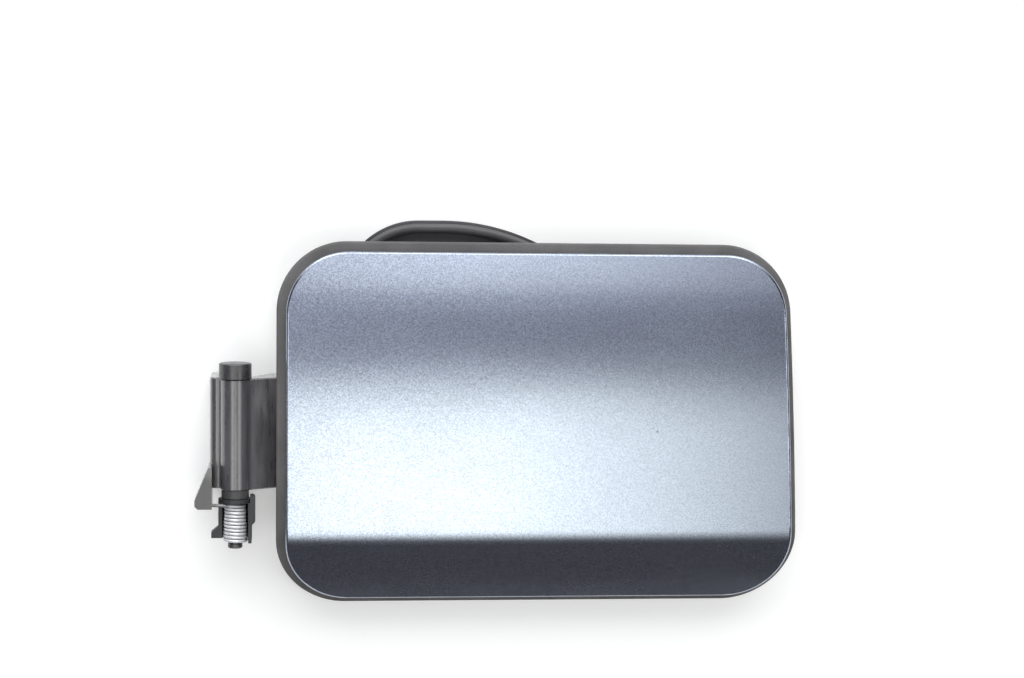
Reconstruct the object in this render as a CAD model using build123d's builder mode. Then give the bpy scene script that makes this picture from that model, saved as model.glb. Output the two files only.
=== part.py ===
from build123d import *
import os
from math import acos, cos, hypot, pi, radians, sin, sqrt, tan

# All sizes are in millimetres. The origin lies on the hinge axis, at the shoulder under the pin's head.
# x runs from the hinge to the free edge, y along the hinge axis, z out of the painted face.

# Flap outline, seen from the painted side
hinge_offset = 17.0        # hinge axis to the skin's near edge
skin_width = 172.0         # near edge to free edge, half way up
skin_height = 120.5        # upper edge to lower edge
skin_above = 43.5          # upper edge above the pin's shoulder
free_edge_lean = 5.8       # the lower free corner stands out this much further than the upper one
upper_edge_fall = 0.6      # the upper edge drops this much towards the free end
corner_radius = 21.0

# Section of the painted face
face_height = 9.5          # crown of the face above the hinge axis
face_radius = 480.0        # gentle crown of the main face
facet_height = 23.2        # crease above the lower edge
facet_angle = 30.0         # slope of the lower facet
crease_radius = 14.0

# Skin, seal and inner panel, as depths behind the painted face
skin_wall = 1.0
hem_depth = 4.2            # depth of the folded edge
hem_return = 5.0           # how far the fold comes back under the skin
hem_radius = 0.9
layer_gap = 0.1            # play between nested mouldings
seal_overhang = 2.7        # seal lip past the skin's edge
seal_shift = 0.5           # the lip stands out further by the hinge and above, less opposite
seal_height = 2.5
seal_radius = 0.9
panel_wall = 1.8
curb_depth = 10.0          # depth of the panel's stiffening curb
curb_wall = 1.8
rib_depth = 6.0
rib_wall = 1.6

# Hinge
pin_radius = 2.5
running_clearance = 0.05
head_radius = 5.5
head_height = 5.2
barrel_radius = 5.0
barrel_length = 38.0
bush_radius = 3.7
bush_depth = 9.0
collar_radius = 4.65
collar_height = 2.9
seat_radius = 5.3
seat_height = 1.4
cage_wall = 1.3
cage_play = 0.35           # coil to cage
cage_short = 0.8           # the trough ends this much before the coil
block_reach = 6.8          # hinge axis to the block's far side
block_rise = 1.1           # block past the seat, up beside the collar
block_depth = 3.0          # block behind the hinge axis
block_step = 1.2           # the block narrows by this towards the lower leg
block_gap = 0.4            # collar to block
pad_depth = 7.2            # mounting pad behind the hinge axis
pad_width = 8.0
pad_gap = 0.8              # sweep of the arm's ear to the pad
foot_reach = 8.1
foot_depth = 4.0
foot_height = 4.0
journal_length = 1.4       # lower journal, past the spring, with its bevel
journal_gap = 0.2          # spring's lower leg to the journal
clip_groove = 0.5          # width of the clip groove over the journal
clip_groove_depth = 0.4
tip_bevel = 0.3
head_round = 0.6
press_gap = 0.02

# Spring
wire_radius = 0.575
coil_turns = 10.25
coil_pitch = 1.19
coil_play = 0.35           # seat to the first coil
coil_radius = 3.15         # to the wire's centre, at the seat
coil_flare = 1.6           # the coil widens a little towards the pin's tip, degrees
upper_leg = 11.0
lower_leg = 4.5

# Hinge arm
arm_wall = 3.2
arm_sink = 6.0             # arm plate below the hinge axis
arm_length = 66.0          # hinge axis to the end of the arm
arm_bend = 16.0            # where the neck has come down to the plate
web_root = 12.6            # where the webs reach their full depth
web_wall = 2.4
edge_break = 0.4           # small bevel on the arm's ends
web_depth = 9.5            # webs under the arm plate
web_share = 0.42           # the webs keep their full depth over this share of the arm
tail_reach = 8.6
tail_wall = 2.6
ear_reach = 13.6
ear_inner = 7.8
ear_start = 30.0           # along the barrel from the shoulder
ear_end = 44.2
ear_root = 10.0            # foot of the ear below the hinge axis
ear_corner = 1.0
ear_groove_play = 0.5
ear_roof = 1.0             # ear over the spring's leg
neck_fillet = 3.0          # barrel to neck
neck_curve = 16.0          # neck to plate
tail_fillet = 0.8          # barrel to tail
tail_drop = 3.6            # where the tail turns down
tail_bend = 1.4
neck_reach = 3.0           # where the neck leaves the barrel
neck_rise = 1.0
tail_root = 3.4            # where the tail leaves the barrel, below the hinge axis
arm_fixing_edge = 8.5      # arm's sides to its near screws
arm_fixing_near = 32.0     # arm's end to its near screws
arm_fixing_far = 7.0       # arm's end to its far screw

# Feet: the flap lies on the tail, the holder's brim and the catch
ground_depth = 20.0        # below the hinge axis

# Cap holder
holder_crown_x = 66.9      # middle of the brim's crown along the flap
holder_crown_flat = 8.6    # straight stretch of the crown
holder_stand = 9.4         # crown of the brim above the skin's upper edge
holder_near_radius = 27.3
holder_far_radius = 75.0
holder_chord = 19.5        # open side below the skin's upper edge
holder_wall = 2.0
holder_base_depth = 2.8    # base plate below the hinge axis
holder_base_wall = 2.3
holder_flare = 4.6         # how far the wall leans out
brim_width = 8.0
brim_wall = 2.4
ridge_inset = 1.0          # brim's edge to the ridge on it
ridge_width = 3.2
ridge_height = 3.4
ridge_round = 1.4
holder_fixing_edge = 6.0   # open side to the screws
holder_fixing_near = 12.0  # crown to the screw on the hinge side
holder_fixing_far = 22.0   # crown to the screw on the free side

# Catch and buffers at the free edge
catch_inset = 13.0         # free edge to the catch plate
catch_width = 15.0
catch_wall = 3.2
catch_base_length = 24.0
catch_base_width = 15.0
catch_base_wall = 2.5
catch_base_depth = 1.0     # base below the hinge axis
catch_corner = 3.0
catch_fixing_near = 7.5    # middle of the base to its screws
catch_fixing_far = 2.5
eye_width = 8.6
eye_height = 8.0
buffer_inset = 15.0
buffer_radius = 5.2
buffer_height = 8.5
buffer_round = 1.4
buffer_pad = 0.8           # flat seat under each buffer

# Screws
screw_radius = 1.5
screw_length = 8.5
screw_head_radius = 3.1
screw_head_height = 2.1
socket_radius = 1.35
socket_depth = 1.2
screw_clearance = 0.1
boss_radius = 3.7

# Derived sizes
skin_top = skin_above
skin_bottom = skin_above - skin_height
skin_left = hinge_offset
skin_right = hinge_offset + skin_width
crease_y = skin_bottom + facet_height
crown_y = (skin_top + crease_y) / 2
middle_y = (skin_top + skin_bottom) / 2
catch_y = middle_y
buffer_y = skin_height / 5
seal_front = hem_depth + layer_gap
seal_back = seal_front + seal_height
panel_front = skin_wall + layer_gap
panel_back = panel_front + panel_wall
curb_inset = hem_return + layer_gap
arm_top = -arm_sink + arm_wall / 2
arm_bottom = -arm_sink - arm_wall / 2
seat_start = barrel_length + collar_height + layer_gap
seat_end = seat_start + seat_height
coil_start = seat_end + coil_play
coil_height = coil_turns * coil_pitch
coil_growth = coil_height * tan(radians(coil_flare))
coil_first = coil_start + wire_radius
coil_last = coil_first + coil_height
coil_slope = coil_pitch / (2 * pi * coil_radius)
spring_end = coil_last + wire_radius + coil_slope * lower_leg
journal_start = spring_end + journal_gap
pin_length = journal_start + journal_length
coil_end_radius = coil_radius + coil_growth
cage_inner = coil_end_radius + wire_radius + cage_play
cage_outer = cage_inner + cage_wall
cage_end = coil_last - cage_short
reach = 2 * (hinge_offset + skin_width)
drop = skin_height


def face_z(y):
    """Height of the painted face over the hinge axis at one place along the hinge."""
    if y >= crease_y:
        return face_height - face_radius + sqrt(face_radius**2 - (y - crown_y) ** 2)
    return face_z(crease_y) - (crease_y - y) * tan(radians(facet_angle))


def flap_outline(grow):
    """The flap's rounded outline, grown or shrunk evenly."""
    half_lean = free_edge_lean / 2
    with BuildSketch() as shape:
        with BuildLine():
            Polyline(
                (skin_left, skin_bottom),
                (skin_right + half_lean, skin_bottom),
                (skin_right - half_lean, skin_top - upper_edge_fall),
                (skin_left, skin_top),
                close=True,
            )
        make_face()
        fillet(shape.vertices(), corner_radius)
        if grow:
            offset(amount=grow)
    return shape.sketch


def flap_ring(outer, inner):
    """The band between two grown or shrunk outlines."""
    with BuildSketch() as band:
        add(flap_outline(outer))
        add(flap_outline(inner), mode=Mode.SUBTRACT)
    return band.sketch


def seal_outline():
    """The lip's outline, shifted towards the hinge and the upper edge."""
    with BuildSketch() as lip:
        with Locations((-seal_shift, seal_shift)):
            add(flap_outline(seal_overhang))
    return lip.sketch


def layer(outline, front, back):
    """A sheet under the painted face between two depths, cut to an outline."""
    high = skin_top + corner_radius
    low = skin_bottom - corner_radius
    with BuildPart() as sheet:
        with BuildSketch(Plane.YZ) as cut:
            with BuildLine():
                for depth in (front, back):
                    ThreePointArc(
                        (high, face_z(high) - depth),
                        (crown_y, face_z(crown_y) - depth),
                        (crease_y, face_z(crease_y) - depth),
                    )
                    Line((crease_y, face_z(crease_y) - depth), (low, face_z(low) - depth))
                for end in (high, low):
                    Line((end, face_z(end) - front), (end, face_z(end) - back))
            make_face()
            fillet([v for v in cut.vertices() if abs(v.X - crease_y) < 0.01], crease_radius)
        extrude(amount=reach)
        with BuildSketch(Plane.XY.offset(-drop)):
            add(outline)
        extrude(amount=2 * drop, mode=Mode.INTERSECT)
    return sheet.part


def lone_edges(faces):
    """The edges that only one of the faces has."""
    edges = [edge for face in faces for edge in face.edges()]
    return [edge for edge in edges if sum(edge.is_same(other) for other in edges) == 1]


def front_faces(part):
    """The faces that look out of the painted side."""
    return part.faces().filter_by(lambda face: face.normal_at().Z > 0.5)


def back_faces(part):
    """The faces that look away from the painted side."""
    return part.faces().filter_by(lambda face: face.normal_at().Z < -0.5)


# Places where something is screwed to the inner panel, each with the levels its screw passes
holder_top = -holder_base_depth
holder_bottom = holder_top - holder_base_wall
brim_top = -ground_depth + brim_wall
ridge_top = brim_top + ridge_height
holder_edge = skin_top - holder_chord
catch_x = skin_right - catch_inset
catch_top = -catch_base_depth
catch_bottom = catch_top - catch_base_wall
catch_base_x = catch_x + catch_wall / 2 - catch_base_length / 2
arm_fixings = [
    (arm_length - arm_fixing_near, -arm_fixing_edge),
    (arm_length - arm_fixing_near, arm_fixing_edge - barrel_length),
    (arm_length - arm_fixing_far, -barrel_length / 2),
]
holder_fixing_y = holder_edge + holder_fixing_edge
holder_fixings = [
    (holder_crown_x - holder_fixing_near, holder_fixing_y),
    (holder_crown_x + holder_fixing_far, holder_fixing_y),
]
catch_fixings = [(catch_base_x - catch_fixing_near, catch_y), (catch_base_x + catch_fixing_far, catch_y)]
fixings = [(spot, arm_top, arm_bottom) for spot in arm_fixings]
fixings += [(spot, holder_top, holder_bottom) for spot in holder_fixings]
fixings += [(spot, catch_top, catch_bottom) for spot in catch_fixings]
buffer_x = skin_right - buffer_inset
upper_spot = (buffer_x, catch_y + buffer_y)
lower_spot = (buffer_x, catch_y - buffer_y)
post_radius = buffer_radius / 2
post_height = buffer_height / 2
rib_y = buffer_y - buffer_radius - buffer_pad - rib_wall


def panel_back_z(spot):
    """Height of the inner panel's back at one place."""
    return face_z(spot[1]) - panel_back


# Painted skin: a shallow tray whose edge is folded back under itself
with BuildPart() as outer_skin:
    add(layer(flap_outline(0), 0, hem_depth))
    fillet(lone_edges(front_faces(outer_skin.part)), hem_radius)
    add(layer(flap_outline(-skin_wall), skin_wall, hem_depth - skin_wall), mode=Mode.SUBTRACT)
    add(layer(flap_outline(-hem_return), skin_wall, hem_depth + 1), mode=Mode.SUBTRACT)

# Edge seal: a lip behind the fold that hides the gap round the flap
with BuildPart() as edge_seal:
    add(layer(seal_outline(), seal_front, seal_back))
    fillet(lone_edges(front_faces(edge_seal.part)), seal_radius)
    fillet(lone_edges(back_faces(edge_seal.part)), seal_radius)
    add(layer(flap_outline(-hem_return), seal_front - 1, seal_back + 1), mode=Mode.SUBTRACT)

# Inner panel: a moulded carrier held by the fold, with a curb, ribs and screw bosses behind
with BuildSketch() as rib_plan:
    with Locations(*[(skin_left + skin_width * share / 6, crown_y) for share in range(1, 6)]):
        Rectangle(rib_wall, 2 * skin_height)
    with Locations(*[(skin_right, catch_y + side * rib_y) for side in (-1, 1)]):
        Rectangle(2 * skin_width, rib_wall)
    add(flap_outline(-curb_inset - curb_wall / 2), mode=Mode.INTERSECT)
with BuildPart() as inner_panel:
    add(layer(flap_outline(-skin_wall - layer_gap), panel_front, panel_back))
    add(layer(flap_ring(-curb_inset, -curb_inset - curb_wall), panel_front, curb_depth))
    add(layer(rib_plan.sketch, panel_front, rib_depth))
    for spot, seat, _ in fixings:
        with BuildSketch(Plane.XY.offset(seat)):
            with Locations(spot):
                Circle(boss_radius)
        extrude(amount=panel_back_z(spot) + panel_wall / 2 - seat)
    for spot, seat, _ in fixings:
        with BuildSketch(Plane.XY.offset(seat)):
            with Locations(spot):
                Circle(screw_radius + screw_clearance / 2)
        extrude(amount=screw_length - 1, mode=Mode.SUBTRACT)
    for spot in (upper_spot, lower_spot):
        for radius, below in ((buffer_radius, buffer_pad), (post_radius, buffer_pad + post_height)):
            with BuildSketch(Plane.XY.offset(panel_back_z(spot) - below)):
                with Locations(spot):
                    Circle(radius)
            extrude(amount=below + panel_wall / 2)

# Hinge arm: barrel, neck and plate, with a tail and a spring ear on the far side
neck = [(neck_reach, neck_rise), (arm_bend, -arm_sink), (arm_length - arm_wall / 2, -arm_sink)]
tail_x = tail_wall / 2 - tail_reach
tail = [(-tail_wall / 2, -tail_root), (tail_x, -tail_drop), (tail_x, tail_wall / 2 - ground_depth)]
leg_y = -coil_first + coil_slope * (upper_leg + ear_inner) / 2
with BuildPart() as hinge_arm:
    with BuildSketch(Plane.XZ.offset(layer_gap)) as arm_profile:
        Circle(barrel_radius)
        with BuildLine():
            FilletPolyline(*neck, radius=neck_curve)
            offset(amount=arm_wall / 2)
        make_face()
        with BuildLine():
            FilletPolyline(*tail, radius=tail_bend)
            offset(amount=tail_wall / 2)
        make_face()
        for side, radius in ((1, neck_fillet), (-1, tail_fillet)):
            roots = [v for v in arm_profile.vertices() if abs(hypot(v.X, v.Y) - barrel_radius) < press_gap]
            fillet([v for v in roots if side * v.X > 0 and abs(v.Y) > press_gap], radius)
    extrude(amount=barrel_length - layer_gap)
    chamfer(hinge_arm.edges().group_by(Axis.Y)[0] + hinge_arm.edges().group_by(Axis.Y)[-1], edge_break)
    for start in (layer_gap, (barrel_length - web_wall) / 2, barrel_length - web_wall):
        with BuildSketch(Plane.XZ.offset(start)):
            with BuildLine():
                Polyline(
                    neck[0],
                    (web_root / 2, arm_bottom),
                    (web_root, arm_bottom - web_depth),
                    (arm_length * web_share, arm_bottom - web_depth),
                    (arm_length - 2 * arm_wall, arm_bottom - arm_wall / 2),
                    (arm_length - 2 * arm_wall, -arm_sink),
                    (arm_bend, -arm_sink),
                    close=True,
                )
            make_face()
        extrude(amount=web_wall)
    with BuildSketch(Plane.XY.offset(-ear_root)):
        with BuildLine():
            Polyline(
                (-ear_inner, -ear_start),
                (-tail_reach - edge_break, -ear_start),
                (-ear_reach, 3 * ear_corner - ear_end),
                (-ear_reach, ear_corner - ear_end),
                (ear_corner - ear_reach, -ear_end),
                (-ear_inner, -ear_end),
                close=True,
            )
        make_face()
    extrude(amount=ear_root + coil_radius + wire_radius + ear_roof)
    with BuildSketch(Plane.XY.offset(coil_radius - wire_radius - layer_gap / 2)):
        with Locations((-ear_reach, leg_y)):
            Rectangle(2 * ear_reach, 2 * wire_radius + ear_groove_play)
    extrude(amount=2 * wire_radius + layer_gap, mode=Mode.SUBTRACT)
    with BuildSketch(Plane.XZ.offset(-1)):
        Circle(pin_radius + running_clearance)
    extrude(amount=barrel_length + 2, mode=Mode.SUBTRACT)
    with BuildSketch(Plane.XZ.offset(barrel_length - bush_depth)):
        Circle(bush_radius)
    extrude(amount=bush_depth, mode=Mode.SUBTRACT)
    with BuildSketch(Plane.XY.offset(-ground_depth)):
        with Locations(*arm_fixings):
            Circle(screw_radius + screw_clearance)
    extrude(amount=ground_depth, mode=Mode.SUBTRACT)
    with BuildSketch(Plane.XY.offset(-ground_depth)):
        with Locations(*arm_fixings):
            Circle(screw_head_radius + ear_groove_play)
    extrude(amount=ground_depth + arm_bottom, mode=Mode.SUBTRACT)

# Lower bush: pressed into the barrel, its collar runs on the spring seat
with BuildPart() as lower_bush:
    with BuildSketch(Plane.XZ.offset(barrel_length - bush_depth + layer_gap)):
        Circle(bush_radius - press_gap)
    extrude(amount=bush_depth)
    with BuildSketch(Plane.XZ.offset(barrel_length)):
        Circle(collar_radius)
    extrude(amount=collar_height)
    with BuildSketch(Plane.XZ.offset(barrel_length - bush_depth)):
        Circle(pin_radius + running_clearance)
    extrude(amount=bush_depth + collar_height, mode=Mode.SUBTRACT)
    chamfer(lower_bush.edges().filter_by(GeomType.CIRCLE).sort_by(Axis.Y)[0], edge_break / 2)

# Hinge pin: wide head above, and a clip groove over the journal below the spring
with BuildPart() as hinge_pin:
    with BuildSketch(Plane.XZ.offset(-head_height / 2)):
        Circle(pin_radius)
    extrude(amount=head_height / 2 + pin_length)
    chamfer(hinge_pin.edges().filter_by(GeomType.CIRCLE).sort_by(Axis.Y)[0], tip_bevel)
    with BuildSketch(Plane.XZ.offset(-head_height)):
        Circle(head_radius)
    extrude(amount=head_height)
    fillet(hinge_pin.edges().filter_by(GeomType.CIRCLE).sort_by(Axis.Y)[-1], head_round)
    with BuildSketch(Plane.XZ.offset(journal_start - clip_groove)):
        Circle(head_radius)
        Circle(pin_radius - clip_groove_depth, mode=Mode.SUBTRACT)
    extrude(amount=clip_groove, mode=Mode.SUBTRACT)

# Spring cage: round seat, trough behind the coil, side block, foot and mounting pad
with BuildPart() as spring_cage:
    with BuildSketch(Plane.XZ.offset(seat_start)):
        Circle(seat_radius)
    extrude(amount=seat_height)
    with BuildSketch(Plane.XZ.offset(seat_start)):
        Circle(cage_outer)
        Circle(cage_inner, mode=Mode.SUBTRACT)
        with Locations((0, cage_outer)):
            Rectangle(4 * cage_outer, 2 * cage_outer, mode=Mode.SUBTRACT)
    extrude(amount=cage_end - seat_start)
    with BuildSketch(Plane.XY.offset(-block_depth)) as block:
        with BuildLine():
            Polyline(
                (collar_radius + block_gap, block_rise - seat_start),
                (block_reach, block_rise - seat_start),
                (block_reach, 5 * block_step - cage_end),
                (block_reach - block_step, 4 * block_step - cage_end),
                (block_reach - block_step, -coil_last - wire_radius),
                (cage_inner, -coil_last - wire_radius),
                (cage_inner, -seat_end),
                (collar_radius + block_gap, -seat_end),
                close=True,
            )
        make_face()
        corner = block.vertices().group_by(Axis.Y)[-1].sort_by(Axis.X)[-1]
        fillet(corner, block_rise)
    extrude(amount=block_depth + coil_end_radius - wire_radius - layer_gap)
    with BuildSketch(Plane.XY.offset(-foot_depth)):
        with BuildLine():
            Polyline(
                (-cage_inner, foot_height - cage_end),
                (-cage_outer, foot_height - cage_end),
                (-foot_reach, foot_height / 2 - cage_end),
                (-foot_reach, -cage_end),
                (-cage_inner, -cage_end),
                close=True,
            )
        make_face()
    extrude(amount=foot_depth)
    pad_top = ear_end + pad_gap
    with BuildSketch(Plane.XY.offset(-pad_depth)):
        with Locations((0, -(pad_top + cage_end) / 2)):
            Rectangle(pad_width, cage_end - pad_top)
    extrude(amount=pad_depth - cage_inner)
    with BuildSketch(Plane.XZ.offset(seat_end)):
        Circle(cage_inner)
    extrude(amount=cage_end, mode=Mode.SUBTRACT)
    with BuildSketch(Plane.XZ):
        Circle(pin_radius + press_gap)
    extrude(amount=pin_length, mode=Mode.SUBTRACT)

# Torsion spring: the upper leg lies in the arm's ear, the lower leg behind the coil against the block
coil_frame = Plane(origin=(0, -coil_first, 0), x_dir=(0, 0, 1), z_dir=(0, -1, 0))
coil_edge = coil_frame * Helix(coil_pitch, coil_height, coil_radius, cone_angle=coil_flare, lefthand=True)
leg_end = coil_edge @ 0 - (coil_edge % 0) * upper_leg
with BuildPart() as torsion_spring:
    with BuildLine() as wire_path:
        Line(leg_end, coil_edge @ 0)
        add(coil_edge)
        Line(coil_edge @ 1, coil_edge @ 1 + (coil_edge % 1) * lower_leg)
    with BuildSketch(Plane(origin=leg_end, z_dir=coil_edge % 0)):
        Circle(wire_radius)
    sweep(path=wire_path.wires()[0])


def half_moon(shrink):
    """The holder's plan, open towards the middle of the flap, drawn in from the brim's edge."""
    crown = skin_top + holder_stand
    ends = []
    middles = []
    tops = []
    for side, radius in ((-1, holder_near_radius), (1, holder_far_radius)):
        centre = crown - radius
        centre_x = holder_crown_x + side * holder_crown_flat / 2
        tops.append((centre_x, crown - shrink))
        sweep_angle = acos((holder_edge - centre) / (radius - shrink))
        for turn, points in ((sweep_angle, ends), (sweep_angle / 2, middles)):
            across = centre_x + side * (radius - shrink) * sin(turn)
            points.append((across, centre + (radius - shrink) * cos(turn)))
    with BuildSketch() as moon:
        with BuildLine():
            ThreePointArc(ends[0], middles[0], tops[0])
            Line(tops[0], tops[1])
            ThreePointArc(tops[1], middles[1], ends[1])
            Line(ends[1], ends[0])
        make_face()
    return moon.sketch


# Cap holder: half a dish with a leaning wall and a ridged brim, open towards the middle of the flap
lean = holder_flare / (holder_bottom - brim_top)
with BuildPart() as cap_holder:
    for level, shrink in ((holder_bottom, brim_width + holder_flare), (brim_top, brim_width)):
        with BuildSketch(Plane.XY.offset(level)):
            add(half_moon(shrink))
    loft()
    with BuildSketch(Plane.XY.offset(holder_bottom)):
        add(half_moon(brim_width + holder_flare))
    extrude(amount=holder_base_wall)
    with BuildSketch(Plane.XY.offset(-ground_depth)):
        add(half_moon(0))
    extrude(amount=brim_wall)
    with BuildSketch(Plane.XY.offset(brim_top)):
        add(half_moon(ridge_inset))
        add(half_moon(ridge_inset + ridge_width), mode=Mode.SUBTRACT)
    extrude(amount=ridge_height)
    ridge_edges = cap_holder.edges().filter_by_position(Axis.Z, ridge_top - press_gap, ridge_top + press_gap)
    fillet(ridge_edges.filter_by(lambda edge: edge.center().Y > holder_edge + ridge_round), ridge_round)
    with BuildPart(mode=Mode.SUBTRACT):
        inside = brim_width + holder_wall
        floor_inside = inside - lean * brim_wall
        for level, shrink in ((holder_bottom, inside + holder_flare), (-ground_depth, floor_inside)):
            with BuildSketch(Plane.XY.offset(level)):
                add(half_moon(shrink))
        loft()
    with BuildSketch(Plane.XY.offset(holder_bottom)):
        with Locations(*holder_fixings):
            Circle(screw_radius + screw_clearance)
    extrude(amount=holder_base_wall, mode=Mode.SUBTRACT)

# Catch: an eye for the latch bolt on a screwed foot
with BuildPart() as catch_loop:
    with BuildSketch(Plane.XY.offset(catch_bottom)) as catch_foot:
        with Locations((catch_base_x, catch_y)):
            RectangleRounded(catch_base_length, catch_base_width, catch_corner / 2)
    extrude(amount=catch_base_wall)
    with BuildSketch(Plane.YZ.offset(catch_x - catch_wall / 2)) as eye_plate:
        with BuildLine():
            Polyline(
                (catch_y - catch_width / 2, catch_bottom + catch_base_wall / 2),
                (catch_y + catch_width / 2, catch_bottom + catch_base_wall / 2),
                (catch_y + catch_width / 2, -ground_depth),
                (catch_y - catch_width / 2, -ground_depth),
                close=True,
            )
        make_face()
        fillet(eye_plate.vertices().group_by(Axis.Y)[0], catch_corner)
        with Locations((catch_y, (catch_bottom - ground_depth) / 2)):
            RectangleRounded(eye_width, eye_height, catch_corner / 3, mode=Mode.SUBTRACT)
    extrude(amount=catch_wall)
    with BuildSketch(Plane.XY.offset(catch_bottom)):
        with Locations(*catch_fixings):
            Circle(screw_radius + screw_clearance)
    extrude(amount=catch_base_wall, mode=Mode.SUBTRACT)


def buffer(spot):
    """A rubber stop that is pushed over a post of the inner panel."""
    top = panel_back_z(spot) - buffer_pad - press_gap
    with BuildPart() as stop:
        with BuildSketch(Plane.XY.offset(top - buffer_height)):
            with Locations(spot):
                Circle(buffer_radius)
        extrude(amount=buffer_height)
        fillet(stop.edges().group_by(Axis.Z)[0], buffer_round)
        with BuildSketch(Plane.XY.offset(top - post_height)):
            with Locations(spot):
                Circle(post_radius + press_gap)
        extrude(amount=post_height, mode=Mode.SUBTRACT)
    return stop.part


with BuildPart() as upper_buffer:
    add(buffer(upper_spot))

with BuildPart() as lower_buffer:
    add(buffer(lower_spot))

# Panel screws: one kind, driven from behind
with BuildPart() as panel_screws:
    for spot, _, low in fixings:
        with BuildSketch(Plane.XY.offset(low - screw_head_height)):
            with Locations(spot):
                Circle(screw_head_radius)
        extrude(amount=screw_head_height)
        with BuildSketch(Plane.XY.offset(low)):
            with Locations(spot):
                Circle(screw_radius)
        extrude(amount=screw_length)
        with BuildSketch(Plane.XY.offset(low - screw_head_height)):
            with Locations(spot):
                RegularPolygon(socket_radius, 6)
        extrude(amount=socket_depth, mode=Mode.SUBTRACT)

nodes = {
    "outer_skin": outer_skin,
    "edge_seal": edge_seal,
    "inner_panel": inner_panel,
    "hinge_arm": hinge_arm,
    "lower_bush": lower_bush,
    "cap_holder": cap_holder,
    "catch_loop": catch_loop,
    "upper_buffer": upper_buffer,
    "lower_buffer": lower_buffer,
    "panel_screws": panel_screws,
    "hinge_pin": hinge_pin,
    "spring_cage": spring_cage,
    "torsion_spring": torsion_spring,
}
os.makedirs("parts", exist_ok=True)
for name, builder in nodes.items():
    builder.part.label = name
    export_step(builder.part, f"parts/{name}.step")
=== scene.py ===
"""Looks of a car's fuel filler flap: painted skin, rubber lip, moulded carrier and sprung hinge."""

import logging
import math
from dataclasses import dataclass, replace
from enum import Enum
from typing import Any, Iterable, Optional, Union

import bpy
from mathutils import Matrix, Vector


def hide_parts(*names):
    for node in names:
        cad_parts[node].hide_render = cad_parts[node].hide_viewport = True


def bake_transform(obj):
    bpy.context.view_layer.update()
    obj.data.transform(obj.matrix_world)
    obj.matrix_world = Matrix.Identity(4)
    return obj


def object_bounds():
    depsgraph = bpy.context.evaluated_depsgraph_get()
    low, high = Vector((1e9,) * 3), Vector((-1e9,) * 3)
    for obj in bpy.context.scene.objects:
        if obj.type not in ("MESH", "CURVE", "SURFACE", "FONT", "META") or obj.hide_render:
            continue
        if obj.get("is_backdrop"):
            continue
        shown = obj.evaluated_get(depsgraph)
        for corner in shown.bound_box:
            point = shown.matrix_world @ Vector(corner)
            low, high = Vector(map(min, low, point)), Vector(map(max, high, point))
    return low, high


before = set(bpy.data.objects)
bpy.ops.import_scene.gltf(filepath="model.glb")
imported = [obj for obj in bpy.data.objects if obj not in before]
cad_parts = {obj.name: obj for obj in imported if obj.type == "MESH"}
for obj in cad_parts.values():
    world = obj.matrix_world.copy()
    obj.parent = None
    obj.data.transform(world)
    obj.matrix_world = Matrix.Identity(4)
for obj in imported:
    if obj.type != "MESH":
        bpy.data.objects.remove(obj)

LOG = logging.getLogger("filler_flap")
MM = 0.001
Colour = tuple[float, float, float]
Stretch = tuple[float, float, float]
Span = tuple[float, float]
Key = Union[int, str]
Number = Union["Wire", float]

# Octaves of the noise in a fine grain.
GRAIN_DETAIL = 2.0
# Share of a spot's radius over which it covers fully.
SPOT_CORE = 0.6
# Middle of a cell pattern's colours.
MIDDLE_GREY = (0.5, 0.5, 0.5)


class Body(str, Enum):
    """The two bodies of the hinge."""

    FLAP = "flap"
    BASE = "hinge_base"


class Ray(str, Enum):
    """The kinds of ray to which the floor looks white."""

    CAMERA = "Is Camera Ray"
    GLOSSY = "Is Glossy Ray"
    THROUGH = "Is Transmission Ray"


class Wire:
    """An output socket that takes part in arithmetic: each operator adds one Math node."""

    def __init__(self, graph: "Graph", socket: Optional[bpy.types.NodeSocket]) -> None:
        """Keeps the graph and its socket."""
        self.graph = graph
        self.socket = socket

    def math(self, operation: str, first: Number, second: Number = 0.0) -> "Wire":
        """Adds a Math node to the graph.

        Args:
            operation: Blender's name of the operation.
            first: left value.
            second: right value.

        Returns:
            The node's result.
        """
        return self.graph.add("ShaderNodeMath", {"operation": operation}, {0: first, 1: second})

    def __add__(self, other: Number) -> "Wire":
        """This plus other."""
        return self.math("ADD", self, other)

    def __radd__(self, other: Number) -> "Wire":
        """Other plus this."""
        return self.math("ADD", other, self)

    def __sub__(self, other: Number) -> "Wire":
        """This minus other."""
        return self.math("SUBTRACT", self, other)

    def __rsub__(self, other: Number) -> "Wire":
        """Other minus this."""
        return self.math("SUBTRACT", other, self)

    def __mul__(self, other: Number) -> "Wire":
        """This times other."""
        return self.math("MULTIPLY", self, other)

    def __rmul__(self, other: Number) -> "Wire":
        """Other times this."""
        return self.math("MULTIPLY", other, self)

    def __abs__(self) -> "Wire":
        """This without its sign."""
        return self.math("ABSOLUTE", self)


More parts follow.
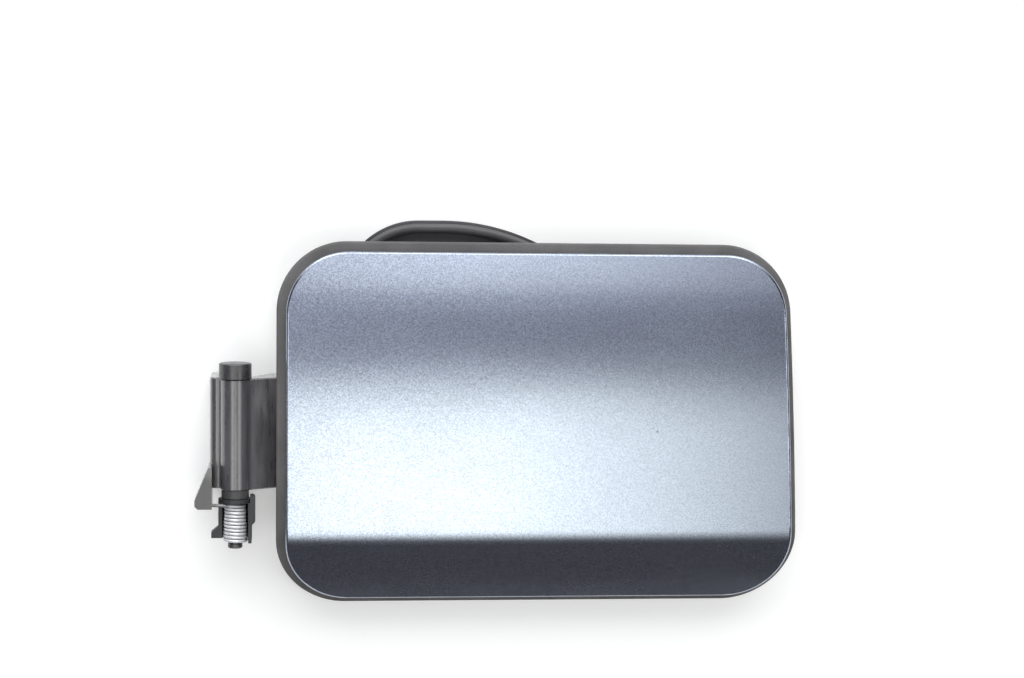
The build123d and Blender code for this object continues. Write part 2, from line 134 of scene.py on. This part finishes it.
class Graph:
    """Writes one node tree, by a single method for every kind of node."""

    def __init__(self, tree: bpy.types.NodeTree) -> None:
        """Empties the tree and keeps it."""
        self.tree = tree
        tree.nodes.clear()

    def add(self, kind: str, settings: dict[str, Any], inputs: dict[Key, Any], output: Key = 0) -> Wire:
        """Makes a node, sets it up and fills its inputs.

        Args:
            kind: Blender's type name of the node.
            settings: properties that are set first; "stops" fills a colour ramp.
            inputs: value or wire for each input, by name or number.
            output: name or number of the output to hand back.

        Returns:
            The chosen output as a wire.
        """
        node = self.tree.nodes.new(kind)
        for name, value in settings.items():
            if name == "stops":
                self.set_stops(node.color_ramp, value)
            else:
                setattr(node, name, value)
        for key, value in inputs.items():
            socket = node.inputs[key]
            if isinstance(value, Wire):
                self.tree.links.new(value.socket, socket)
            elif isinstance(value, tuple) and len(value) == 3 and socket.type == "RGBA":
                socket.default_value = (*value, 1.0)
            else:
                socket.default_value = value
        return Wire(self, node.outputs[output] if node.outputs else None)

    @staticmethod
    def set_stops(ramp: bpy.types.ColorRamp, stops: Iterable[Span]) -> None:
        """Gives a ramp its grey stops.

        Args:
            ramp: the ramp to fill.
            stops: place and grey level of each stop, from 0 to 1.
        """
        wanted = list(stops)
        while len(ramp.elements) < len(wanted):
            ramp.elements.new(1.0)
        for element, (place, level) in zip(ramp.elements, wanted):
            element.position = place
            element.color = (level, level, level, 1.0)

    def vector(self, operation: str, *values: Any, output: Key = 0) -> Wire:
        """One Vector Math node on its values, in order."""
        return self.add("ShaderNodeVectorMath", {"operation": operation}, dict(enumerate(values)), output)

    def place(self) -> Wire:
        """The surface point in the object's own frame, in metres."""
        return self.add("ShaderNodeTexCoord", {}, {}, "Object")

    def along(self) -> Wire:
        """How far the surface point lies along the hinge, in metres."""
        return self.add("ShaderNodeSeparateXYZ", {}, {"Vector": self.place()}, "Y")

    def noise(self, size: float, detail: float, stretch: Stretch = (1.0, 1.0, 1.0)) -> Wire:
        """Soft noise from 0 to 1.

        Args:
            size: width of one blotch in metres.
            detail: octaves.
            stretch: how much longer a blotch is along each axis.

        Returns:
            The noise value.
        """
        scale = tuple(1.0 / (size * longer) for longer in stretch)
        spot = self.vector("MULTIPLY", self.place(), scale)
        return self.add("ShaderNodeTexNoise", {}, {"Vector": spot, "Scale": 1.0, "Detail": detail})

    def cells(self, size: float, output: str) -> Wire:
        """One output of a cell pattern whose cells are about size metres wide."""
        return self.add("ShaderNodeTexVoronoi", {}, {"Vector": self.place(), "Scale": 1.0 / size}, output)

    def ramp(self, value: Wire, *stops: Span) -> Wire:
        """The value bent through grey stops."""
        return self.add("ShaderNodeValToRGB", {"stops": stops}, {"Fac": value})

    def mix(self, factor: Number, first: Any, second: Any) -> Wire:
        """A colour between two colours."""
        return self.add("ShaderNodeMix", {"data_type": "RGBA"}, {0: factor, 6: first, 7: second}, 2)

    def bump(self, height: Wire, depth: float) -> Wire:
        """A normal raised by a height from 0 to 1, depth metres deep."""
        return self.add("ShaderNodeBump", {}, {"Height": height, "Strength": 1.0, "Distance": depth})

    def near(self, centre: Vector, radius: float) -> Wire:
        """A mask that is 1 about a point and falls to 0 at the spot's edge.

        Args:
            centre: the point in metres.
            radius: half width of the spot in metres.

        Returns:
            The mask.
        """
        gap = self.vector("DISTANCE", self.place(), tuple(centre), output="Value")
        return 1.0 - self.step(gap, SPOT_CORE * radius, radius)

    def step(self, value: Wire, low: float, high: float) -> Wire:
        """A smooth rise from 0 to 1.

        Args:
            value: what is measured.
            low: where the rise starts.
            high: where it ends.

        Returns:
            The risen value.
        """
        span = {"Value": value, "From Min": low, "From Max": high}
        return self.add("ShaderNodeMapRange", {"interpolation_type": "SMOOTHSTEP"}, span)


@dataclass(frozen=True)
class Blotches:
    """Soft noise bent through grey stops, with its size in metres."""

    size: float
    detail: float
    stops: tuple[Span, ...]
    stretch: Stretch = (1.0, 1.0, 1.0)

    def mask(self, graph: Graph) -> Wire:
        """The blotches in a material's graph."""
        return graph.ramp(graph.noise(self.size, self.detail, self.stretch), *self.stops)


RUBBED_STREAKS = Blotches(0.006, 6.0, ((0.42, 0.0), (0.8, 0.75)), (0.4, 3.0, 1.0))
DULL_PATCHES = Blotches(0.003, 5.0, ((0.35, 0.0), (0.7, 1.0)))


@dataclass(frozen=True)
class Coil:
    """Sizes of the spring's turns, in metres and radians."""

    wire_radius: float = 0.575 * MM
    turns: float = 10.25
    pitch: float = 1.19 * MM
    radius: float = 3.15 * MM
    flare: float = math.radians(1.6)
    first_turn: float = -43.325 * MM

    def last_turn(self) -> float:
        """Where the last turn ends along the hinge."""
        return self.first_turn - self.turns * self.pitch


@dataclass(frozen=True)
class Finish:
    """A surface finish, with the values that are the same all over it."""

    slot: str
    roughness: float
    metallic: float = 0.0
    coat: float = 0.0
    coat_roughness: float = 0.05
    specular: float = 0.5

    def material(self) -> bpy.types.Material:
        """Makes the finish as a material.

        Returns:
            The material, named for its slot.
        """
        material = bpy.data.materials.new(self.slot)
        material.use_nodes = True
        graph = Graph(material.node_tree)
        fixed = {
            "Roughness": self.roughness,
            "Metallic": self.metallic,
            "Coat Weight": self.coat,
            "Coat Roughness": self.coat_roughness,
            "Specular IOR Level": self.specular,
        }
        shader = graph.add("ShaderNodeBsdfPrincipled", {}, {**fixed, **self.layers(graph)})
        graph.add("ShaderNodeOutputMaterial", {}, {"Surface": shader})
        return material

    def layers(self, graph: Graph) -> dict[str, Any]:
        """The shader inputs that change over the surface."""
        raise NotImplementedError


@dataclass(frozen=True)
class MetallicPaint(Finish):
    """Blue-grey metallic paint: flakes under a clear coat, a stone chip and dust along the lower edge."""

    shade: Colour = (0.212, 0.241, 0.305)
    tint: Colour = (0.378, 0.429, 0.543)
    flake: float = 0.0003
    flake_tilt: float = 0.014
    chip: Vector = Vector((0.143, -0.0172, 0.009))
    chip_radius: float = 0.0006
    chip_colour: Colour = (0.05, 0.05, 0.055)
    smears: Blotches = Blotches(0.03, 4.0, ((0.45, 0.0), (0.75, 1.0)), (1.6, 0.7, 1.0))
    smear_roughness: float = 0.03
    dust_colour: Colour = (0.3, 0.3, 0.31)
    dust_span: Span = (-0.079, -0.064)
    dust_cover: float = 0.16
    even_dust: float = 0.5

    def layers(self, graph: Graph) -> dict[str, Any]:
        """Flake colour and tilt, smears, dust and the chip.

        Args:
            graph: the material's graph.

        Returns:
            The shader inputs.
        """
        colour = graph.cells(self.flake, "Color")
        red = graph.add("ShaderNodeSeparateColor", {}, {"Color": colour})
        flakes = graph.mix(red, self.shade, self.tint)
        tilt = graph.vector("SUBTRACT", colour, MIDDLE_GREY)
        tilt = graph.vector("MULTIPLY", tilt, (self.flake_tilt,) * 3)
        normal = graph.add("ShaderNodeNewGeometry", {}, {}, "Normal")
        smear = self.smears.mask(graph)
        low = 1.0 - graph.step(graph.along(), *self.dust_span)
        dust = low * (self.even_dust + smear) * self.dust_cover
        painted = graph.mix(dust, flakes, self.dust_colour)
        chip = graph.near(self.chip, self.chip_radius)
        return {
            "Base Color": graph.mix(chip, painted, self.chip_colour),
            "Roughness": self.roughness + self.smear_roughness * smear,
            "Metallic": self.metallic - dust,
            "Normal": graph.vector("NORMALIZE", graph.vector("ADD", normal, tilt)),
        }


@dataclass(frozen=True)
class RubberLip(Finish):
    """Matt rubber with a dusty bloom and a fine moulded grit."""

    dark: Colour = (0.07, 0.067, 0.068)
    dusty: Colour = (0.147, 0.142, 0.145)
    bloom: Blotches = Blotches(0.012, 5.0, ((0.3, 0.35), (0.7, 1.0)))
    even_bloom: float = 0.6
    grit: Blotches = Blotches(0.0004, GRAIN_DETAIL, ((0.3, 0.0), (0.7, 1.0)))
    grit_bloom: float = 0.5
    grit_roughness: float = 0.12
    grit_height: float = 0.00004

    def layers(self, graph: Graph) -> dict[str, Any]:
        """Bloom and grit.

        Args:
            graph: the material's graph.

        Returns:
            The shader inputs.
        """
        grit = self.grit.mask(graph)
        dust = self.bloom.mask(graph) * (self.even_bloom + self.grit_bloom * grit)
        return {
            "Base Color": graph.mix(dust, self.dark, self.dusty),
            "Roughness": self.roughness + self.grit_roughness * grit,
            "Normal": graph.bump(grit, self.grit_height),
        }


@dataclass(frozen=True)
class ScuffedMoulding(Finish):
    """Satin black moulding that has rubbed grey in streaks, with a patch of painted shade and a scuffed
    patch that is partly a painted highlight.
    """

    dark: Colour = (0.056, 0.053, 0.06)
    rubbed: Colour = (0.21, 0.205, 0.213)
    rubs: Blotches = RUBBED_STREAKS
    rub_wear: float = 0.4
    rub_roughness: float = 0.14
    scratches: Blotches = Blotches(0.0012, 3.0, ((0.66, 0.0), (0.76, 0.6)), (0.25, 8.0, 1.0))
    scratch_wear: float = 0.3
    scratch_height: float = 0.4
    # A scuffed patch at the arm's upper corner, lighter partly from scuffs and partly as a painted
    # highlight.
    scuff_and_highlight: Vector = Vector((0.014, -0.007, -0.004))
    scuff_and_highlight_radius: float = 0.011
    even_scuff_and_highlight: float = 0.2
    scuff_and_highlight_amount: float = 0.5
    even_wear: float = 0.06
    # A patch of painted shade over the spring ear, which lies in shadow.
    painted_shade: Vector = Vector((-0.0125, -0.04, 0.0047))
    painted_shade_radius: float = 0.0095
    painted_shade_colour: Colour = (0.02, 0.02, 0.022)
    painted_shade_cover: float = 0.8
    painted_shade_roughness: float = 0.3
    grain: float = 0.0005
    grain_height: float = 0.00003

    def layers(self, graph: Graph) -> dict[str, Any]:
        """Rubbed streaks, scratches, a scuffed patch that is partly a painted highlight, a patch of
        painted shade and grain.

        Args:
            graph: the material's graph.

        Returns:
            The shader inputs.
        """
        rubbed = self.rubs.mask(graph)
        scratch = self.scratches.mask(graph)
        # Scuffs at the arm's upper corner, partly a painted highlight.
        scuff_and_highlight = graph.near(self.scuff_and_highlight, self.scuff_and_highlight_radius) * (self.even_scuff_and_highlight + rubbed)
        # Painted shade over the spring ear.
        painted_shade = graph.near(self.painted_shade, self.painted_shade_radius)
        wear_and_highlight = rubbed * self.rub_wear + scratch * self.scratch_wear
        wear_and_highlight = wear_and_highlight + scuff_and_highlight * self.scuff_and_highlight_amount + self.even_wear
        worn_and_highlighted = graph.mix(wear_and_highlight * (1.0 - painted_shade), self.dark, self.rubbed)
        height = graph.noise(self.grain, GRAIN_DETAIL) + self.scratch_height * scratch
        return {
            "Base Color": graph.mix(painted_shade * self.painted_shade_cover, worn_and_highlighted, self.painted_shade_colour),
            "Roughness": self.roughness + self.rub_roughness * rubbed + self.painted_shade_roughness * painted_shade,
            "Normal": graph.bump(height, self.grain_height),
        }


@dataclass(frozen=True)
class GrainedMoulding(Finish):
    """Unpainted moulding with an even spark-eroded grain and a little dust."""

    dark: Colour = (0.03, 0.03, 0.032)
    dusty: Colour = (0.085, 0.083, 0.08)
    dust: Blotches = Blotches(0.018, 5.0, ((0.4, 0.0), (0.75, 1.0)))
    dust_cover: float = 0.7
    dust_roughness: float = 0.1
    grain: float = 0.0007
    grain_cover: float = 0.2
    grain_height: float = 0.00006

    def layers(self, graph: Graph) -> dict[str, Any]:
        """Dust and grain.

        Args:
            graph: the material's graph.

        Returns:
            The shader inputs.
        """
        dust = self.dust.mask(graph)
        grain = graph.cells(self.grain, "Distance")
        pale = dust * self.dust_cover + grain * self.grain_cover
        return {
            "Base Color": graph.mix(pale, self.dark, self.dusty),
            "Roughness": self.roughness + self.dust_roughness * dust,
            "Normal": graph.bump(grain, self.grain_height),
        }


@dataclass(frozen=True)
class ZincWire(Finish):
    """Zinc-plated spring wire, bright outside, with painted shade between the turns and on its legs.

    The spans are in wire radii outwards from the middle of the wire.
    """

    bright: Colour = (0.86, 0.86, 0.88)
    # Painted shade: the dark colour between the turns and on the legs, towards which the dull patches
    # also darken.
    painted_shade: Colour = (0.035, 0.035, 0.04)
    coil: Coil = Coil()
    unshaded_span: Span = (0.1, 0.75)
    leg_span: Span = (1.2, 3.0)
    leg_painted_shade: float = 0.75
    patches: Blotches = DULL_PATCHES
    patch_grime: float = 0.2
    patch_roughness: float = 0.2

    def layers(self, graph: Graph) -> dict[str, Any]:
        """Painted shade by the depth below the coil's outside and on the legs, and dull patches.

        Args:
            graph: the material's graph.

        Returns:
            The shader inputs.
        """
        flat = graph.vector("MULTIPLY", graph.place(), (1.0, 0.0, 1.0))
        reach = graph.vector("LENGTH", flat, output="Value")
        middle = (self.coil.first_turn - graph.along()) * math.tan(self.coil.flare) + self.coil.radius
        outwards = (reach - middle) * (1.0 / self.coil.wire_radius)
        # Painted shade between the turns, where the wire lies below the coil's outside, and on the legs.
        unshaded = graph.step(outwards, *self.unshaded_span)
        leg = graph.step(outwards, *self.leg_span)
        patch = self.patches.mask(graph)
        shine = unshaded * (1.0 - self.patch_grime * patch) * (1.0 - self.leg_painted_shade * leg)
        return {
            "Base Color": graph.mix(shine, self.painted_shade, self.bright),
            "Roughness": self.roughness + self.patch_roughness * patch,
        }


@dataclass(frozen=True)
class WornMetal(Finish):
    """Plated or blacked steel with a fine grain and dull patches."""

    bright: Colour = (0.6, 0.6, 0.62)
    dull: Colour = (0.34, 0.33, 0.32)
    patches: Blotches = DULL_PATCHES
    patch_cover: float = 0.7
    patch_roughness: float = 0.2
    grain: float = 0.0003
    grain_cover: float = 0.3
    grain_height: float = 0.00001

    def layers(self, graph: Graph) -> dict[str, Any]:
        """Patches and grain.

        Args:
            graph: the material's graph.

        Returns:
            The shader inputs.
        """
        patch = self.patches.mask(graph)
        grain = graph.noise(self.grain, GRAIN_DETAIL)
        dullness = patch * self.patch_cover + grain * self.grain_cover
        return {
            "Base Color": graph.mix(dullness, self.bright, self.dull),
            "Roughness": self.roughness + self.patch_roughness * patch,
            "Normal": graph.bump(grain, self.grain_height),
        }


def dress(finish: Finish, *names: str) -> None:
    """Gives solids their finish and reports each.

    Args:
        finish: what they are finished with.
        names: the solids' names.
    """
    material = finish.material()
    for name in names:
        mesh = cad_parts[name].data
        mesh.materials.clear()
        mesh.materials.append(material)
        LOG.info("%s: %s", name, finish.slot)


@dataclass
class PaintedSkin:
    """The painted skin and the rubber lip round it."""

    paint: MetallicPaint = MetallicPaint(
        "outer_skin", roughness=0.17, metallic=1.0, coat=1.0, coat_roughness=0.03
    )
    lip: RubberLip = RubberLip("edge_seal", roughness=0.62)

    def dress(self) -> None:
        """Finishes both."""
        dress(self.paint, "outer_skin")
        dress(self.lip, "edge_seal")


@dataclass
class CarrierBack:
    """What lies behind the skin: carrier, catch, rubber stops and screws."""

    moulding: GrainedMoulding = GrainedMoulding("inner_panel", roughness=0.5)
    catch: GrainedMoulding = GrainedMoulding(
        "catch_loop", roughness=0.42, dark=(0.035, 0.035, 0.037), grain=0.0005
    )
    stops: RubberLip = RubberLip(
        "upper_buffer", roughness=0.7, dark=(0.02, 0.02, 0.02), dusty=(0.06, 0.06, 0.06)
    )
    screws: WornMetal = WornMetal("panel_screws", roughness=0.32, metallic=1.0)

    def dress(self) -> None:
        """Finishes all of them."""
        dress(self.moulding, "inner_panel")
        dress(self.catch, "catch_loop")
        dress(self.stops, "upper_buffer", "lower_buffer")
        dress(self.screws, "panel_screws")


@dataclass
class HingeArm:
    """The moulded arm with its barrel, and the bush pressed into it."""

    moulding: ScuffedMoulding = ScuffedMoulding(
        "hinge_arm", roughness=0.26, coat=1.0, coat_roughness=0.2, specular=1.0
    )
    bush: GrainedMoulding = GrainedMoulding("lower_bush", roughness=0.4, dark=(0.05, 0.05, 0.055))

    def dress(self) -> None:
        """Finishes both."""
        dress(self.moulding, "hinge_arm")
        dress(self.bush, "lower_bush")


@dataclass
class CapHolder:
    """The half dish that parks the cap."""

    moulding: ScuffedMoulding = ScuffedMoulding(
        "cap_holder",
        roughness=0.36,
        dark=(0.066, 0.064, 0.07),
        rubbed=(0.17, 0.167, 0.173),
        rubs=replace(RUBBED_STREAKS, stretch=(3.0, 1.0, 1.0)),
    )

    def dress(self) -> None:
        """Finishes it."""
        dress(self.moulding, "cap_holder")


@dataclass
class SpringHinge:
    """Pin, spring cage and the wound wire spring between the two bodies."""

    coil: Coil = Coil()
    upper_leg: float = 11.0 * MM
    upper_steps: int = 8
    lower_leg: float = 4.5 * MM
    lower_steps: int = 5
    steps_per_turn: int = 40
    sides: int = 14
    pin: WornMetal = WornMetal(
        "hinge_pin",
        roughness=0.24,
        metallic=0.2,
        specular=1.0,
        bright=(0.035, 0.035, 0.04),
        dull=(0.08, 0.078, 0.08),
    )
    cage: GrainedMoulding = GrainedMoulding(
        "spring_cage", roughness=0.46, dark=(0.025, 0.026, 0.03), dusty=(0.05, 0.05, 0.055)
    )
    zinc: ZincWire = ZincWire("torsion_spring", roughness=0.42, metallic=0.6)

    def path(self) -> list[Vector]:
        """The wire's centre line.

        Returns:
            Points in metres, from the end of the upper leg to the end of the lower one.
        """
        coil = self.coil
        wound = []
        for step in range(round(coil.turns * self.steps_per_turn) + 1):
            turn = step / self.steps_per_turn
            along = turn * coil.pitch
            radius = coil.radius + along * math.tan(coil.flare)
            angle = math.tau * turn
            across = radius * math.sin(angle)
            up = radius * math.cos(angle)
            wound.append(Vector((across, coil.first_turn - along, up)))
        start = (wound[1] - wound[0]).normalized() * self.upper_leg
        end = (wound[-1] - wound[-2]).normalized() * self.lower_leg
        upper = [wound[0] - start * (1 - part / self.upper_steps) for part in range(self.upper_steps)]
        lower = [wound[-1] + end * (part + 1) / self.lower_steps for part in range(self.lower_steps)]
        return upper + wound + lower

    def rings(self, path: list[Vector]) -> list[Vector]:
        """Sets a ring of points round each point of the centre line.

        Args:
            path: the centre line.

        Returns:
            The points, ring by ring.
        """
        points = []
        side = Vector((0.0, 0.0, 1.0))
        for place, spot in enumerate(path):
            ahead = path[min(place + 1, len(path) - 1)] - path[max(place - 1, 0)]
            ahead.normalize()
            side = (side - ahead * side.dot(ahead)).normalized()
            other = ahead.cross(side)
            for corner in range(self.sides):
                angle = math.tau * corner / self.sides
                outwards = math.cos(angle) * side + math.sin(angle) * other
                points.append(spot + self.coil.wire_radius * outwards)
        return points

    def faces(self, count: int) -> list[tuple[int, ...]]:
        """Joins the rings to a tube and closes its ends.

        Args:
            count: how many rings there are.

        Returns:
            The corners of each face, the two ends last.
        """
        faces = []
        for ring in range(count - 1):
            low = ring * self.sides
            high = low + self.sides
            for corner in range(self.sides):
                after = (corner + 1) % self.sides
                faces.append((low + corner, low + after, high + after, high + corner))
        faces.append(tuple(reversed(range(self.sides))))
        faces.append(tuple(range((count - 1) * self.sides, count * self.sides)))
        return faces

    def build(self) -> None:
        """Winds the wire as a closed tube."""
        path = self.path()
        faces = self.faces(len(path))
        mesh = bpy.data.meshes.new("wound_spring")
        mesh.from_pydata(self.rings(path), [], faces)
        mesh.polygons.foreach_set("use_smooth", [len(face) == 4 for face in faces])
        mesh.materials.append(self.zinc.material())
        spring = bpy.data.objects.new("wound_spring", mesh)
        bpy.context.scene.collection.objects.link(spring)
        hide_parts("torsion_spring")
        start = (0.0, self.coil.last_turn(), 0.0)
        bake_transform(spring)
        LOG.info("wound_spring: %d faces", len(faces))

    def dress(self) -> None:
        """Finishes the pin and the cage."""
        dress(self.pin, "hinge_pin")
        dress(self.cage, "spring_cage")


@dataclass(frozen=True)
class Glow:
    """A soft patch of light in the surround, by the direction's share along x and y."""

    radiance: float
    near: Span
    far: Span
    middle: float
    fade: Span

    def light(self, graph: Graph, across: Wire, back: Wire) -> Wire:
        """Adds the patch.

        Args:
            graph: the surround's graph.
            across: the direction's share along x.
            back: the direction's share along y.

        Returns:
            Its radiance.
        """
        band = graph.step(back, *self.near) * (1.0 - graph.step(back, *self.far))
        return band * (1.0 - graph.step(abs(across - self.middle), *self.fade)) * self.radiance


@dataclass
class Studio:
    """Pale floor under a plain surround with soft patches of light, dim low down in front of the flap."""

    floor_colour: Colour = (0.78, 0.78, 0.78)
    floor_lift: float = 0.33
    floor_half: float = 4.0
    surround: float = 0.435
    dim: float = 0.122
    dim_span: Span = (-0.9, -0.5)
    shade: float = 0.79
    shade_span: Span = (0.0, 0.43)
    left_shade: float = 0.7
    left_span: Span = (-0.6, -0.25)
    sides: Glow = Glow(2.5, near=(-0.4, -0.2), far=(0.0, 0.15), middle=0.44, fade=(0.08, 0.22))
    between_sides: float = 0.1
    front: Glow = Glow(3.15, near=(-0.9, -0.42), far=(-0.16, -0.04), middle=0.057, fade=(0.0, 0.22))
    rear: Glow = Glow(2.3, near=(0.062, 0.093), far=(0.3, 0.6), middle=0.085, fade=(-0.06, 0.25))
    window: Glow = Glow(3.4, near=(0.45, 0.62), far=(0.93, 0.99), middle=0.0, fade=(0.35, 0.8))
    cool: Colour = (1.0, 1.0, 1.11)
    low: Colour = (1.0, 0.95, 0.97)
    mild: Colour = (0.985, 1.0, 0.985)
    warm: Colour = (0.99, 1.0, 0.89)

    def build(self, floor_level: float) -> None:
        """Sets up floor and surround.

        Args:
            floor_level: height of the floor in metres.
        """
        self.lay_floor(floor_level)
        self.light_surround()

    def lay_floor(self, level: float) -> None:
        """Lays the floor, which looks white where nothing shades it.

        Args:
            level: its height in metres.
        """
        half = self.floor_half
        corners = [(-half, -half, level), (half, -half, level), (half, half, level), (-half, half, level)]
        mesh = bpy.data.meshes.new("floor")
        mesh.from_pydata(corners, [], [(0, 1, 2, 3)])
        floor = bpy.data.objects.new("floor", mesh)
        bpy.context.scene.collection.objects.link(floor)
        material = bpy.data.materials.new("pale_floor")
        material.use_nodes = True
        graph = Graph(material.node_tree)
        camera, glossy, through = [graph.add("ShaderNodeLightPath", {}, {}, ray.value) for ray in Ray]
        seen = (camera + glossy + through) * self.floor_lift
        matt = graph.add("ShaderNodeBsdfDiffuse", {}, {"Color": self.floor_colour})
        lift = graph.add("ShaderNodeEmission", {}, {"Color": (1.0, 1.0, 1.0), "Strength": seen})
        both = graph.add("ShaderNodeAddShader", {}, {0: matt, 1: lift})
        graph.add("ShaderNodeOutputMaterial", {}, {"Surface": both})
        mesh.materials.append(material)
        floor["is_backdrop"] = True

    def light_surround(self) -> None:
        """Lights the room and its patches, dimmer low down in front of the flap and to both sides."""
        world = bpy.data.worlds.new("surround")
        world.use_nodes = True
        bpy.context.scene.world = world
        graph = Graph(world.node_tree)
        way = graph.add("ShaderNodeTexCoord", {}, {}, "Generated")
        across = graph.add("ShaderNodeSeparateXYZ", {}, {"Vector": way}, "X")
        back = graph.add("ShaderNodeSeparateXYZ", {}, {"Vector": way}, "Y")
        shaded = 1.0 - graph.step(across, *self.shade_span) * self.shade
        left = 1.0 - (1.0 - graph.step(across, *self.left_span)) * self.left_shade
        high = graph.step(back, *self.dim_span)
        room = high * (shaded * left * self.surround - self.dim) + self.dim
        patches = self.rear.light(graph, across, back) * shaded + self.window.light(graph, across, back)
        # The two side patches are one, mirrored about the place between them.
        patches = patches + self.sides.light(graph, abs(across - self.between_sides), back)
        lit = [
            (graph.mix(high, self.low, self.cool), room),
            (self.mild, patches),
            (self.warm, self.front.light(graph, across, back)),
        ]
        walls, lamps, front = [
            graph.add("ShaderNodeBackground", {}, {"Color": colour, "Strength": strength})
            for colour, strength in lit
        ]
        sky = graph.add("ShaderNodeAddShader", {}, {0: walls, 1: lamps})
        sky = graph.add("ShaderNodeAddShader", {}, {0: sky, 1: front})
        graph.add("ShaderNodeOutputWorld", {}, {"Surface": sky})


@dataclass
class PhotoCamera:
    """The camera, over the flap and a little to the hinge side and the back."""

    target: Vector = Vector((0.0938, 0.0135, 0.0))
    distance: float = 0.8327
    towards_back: float = math.radians(5.15)
    towards_hinge: float = math.radians(5.38)
    roll: float = math.radians(0.63)
    focal_pixels: float = 2441.0
    image_width: float = 1024.0
    sensor: float = 36.0

    def build(self) -> None:
        """Places the camera and makes it the scene's own."""
        way = Vector((
            -math.sin(self.towards_hinge) * math.cos(self.towards_back),
            math.sin(self.towards_back),
            math.cos(self.towards_hinge) * math.cos(self.towards_back),
        ))
        right = Vector((0.0, 1.0, 0.0)).cross(way).normalized()
        up = way.cross(right)
        tilt = math.cos(self.roll)
        lean = math.sin(self.roll)
        turned = Matrix((right * tilt + up * lean, up * tilt - right * lean, way)).transposed()
        lens = bpy.data.cameras.new("photo_camera")
        lens.sensor_width = self.sensor
        lens.lens = self.focal_pixels / self.image_width * self.sensor
        camera = bpy.data.objects.new("photo_camera", lens)
        camera.matrix_world = Matrix.Translation(self.target + self.distance * way) @ turned.to_4x4()
        bpy.context.scene.collection.objects.link(camera)
        bpy.context.scene.camera = camera


def main() -> None:
    """Builds and finishes every sub-assembly, then the studio and the camera."""
    logging.basicConfig(level=logging.INFO, format="%(name)s: %(message)s")
    cad_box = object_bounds()
    PaintedSkin().dress()
    CarrierBack().dress()
    HingeArm().dress()
    CapHolder().dress()
    hinge = SpringHinge()
    hinge.build()
    hinge.dress()
    Studio().build(cad_box[0][2])
    PhotoCamera().build()
    bpy.context.scene.view_settings.view_transform = "Standard"


if __name__ == "__main__":
    main()
